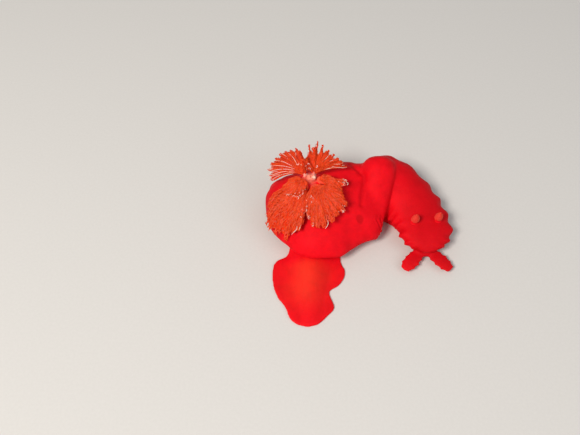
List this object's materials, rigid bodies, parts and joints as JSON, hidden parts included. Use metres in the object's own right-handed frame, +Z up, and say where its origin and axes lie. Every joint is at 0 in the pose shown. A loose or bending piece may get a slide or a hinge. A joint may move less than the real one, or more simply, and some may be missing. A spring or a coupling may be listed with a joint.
{
  "type": "spanish dancer nudibranch model",
  "caption": "Still life-size model of a red sea slug lying in a hook on its flat foot, with a spread mantle, a crown of feathery gills and a high pleat across its back.",
  "frame": {"origin": "on the floor, under the middle of the model's box", "axes": "+Z up from the floor; -Y towards the tip of the foot's rear lobe and the head; +X from the rear of the animal towards its front half"},
  "size_m": [0.186, 0.1878, 0.0786],
  "materials": {
    "skin": "soft wet skin, satin",
    "gill": "soft feathery gill, satin",
    "pale_flesh": "soft wet flesh, satin"
  },
  "bodies": {
    "root": {"tail": "skin", "foot_rear": "skin", "foot_front": "skin", "mantle_rear": "skin", "mantle_pleat": "skin", "mantle_front": "skin", "head": "skin", "oral_tentacle_left": "skin", "oral_tentacle_right": "skin", "rhinophore_left": "skin", "rhinophore_right": "skin", "gill_bed": "pale_flesh", "anal_papilla": "pale_flesh", "gill_rear_left": "gill", "gill_rear_right": "gill", "gill_left": "gill", "gill_front_left": "gill", "gill_front_right": "gill", "gill_right": "gill"}
  },
  "joints": []
}
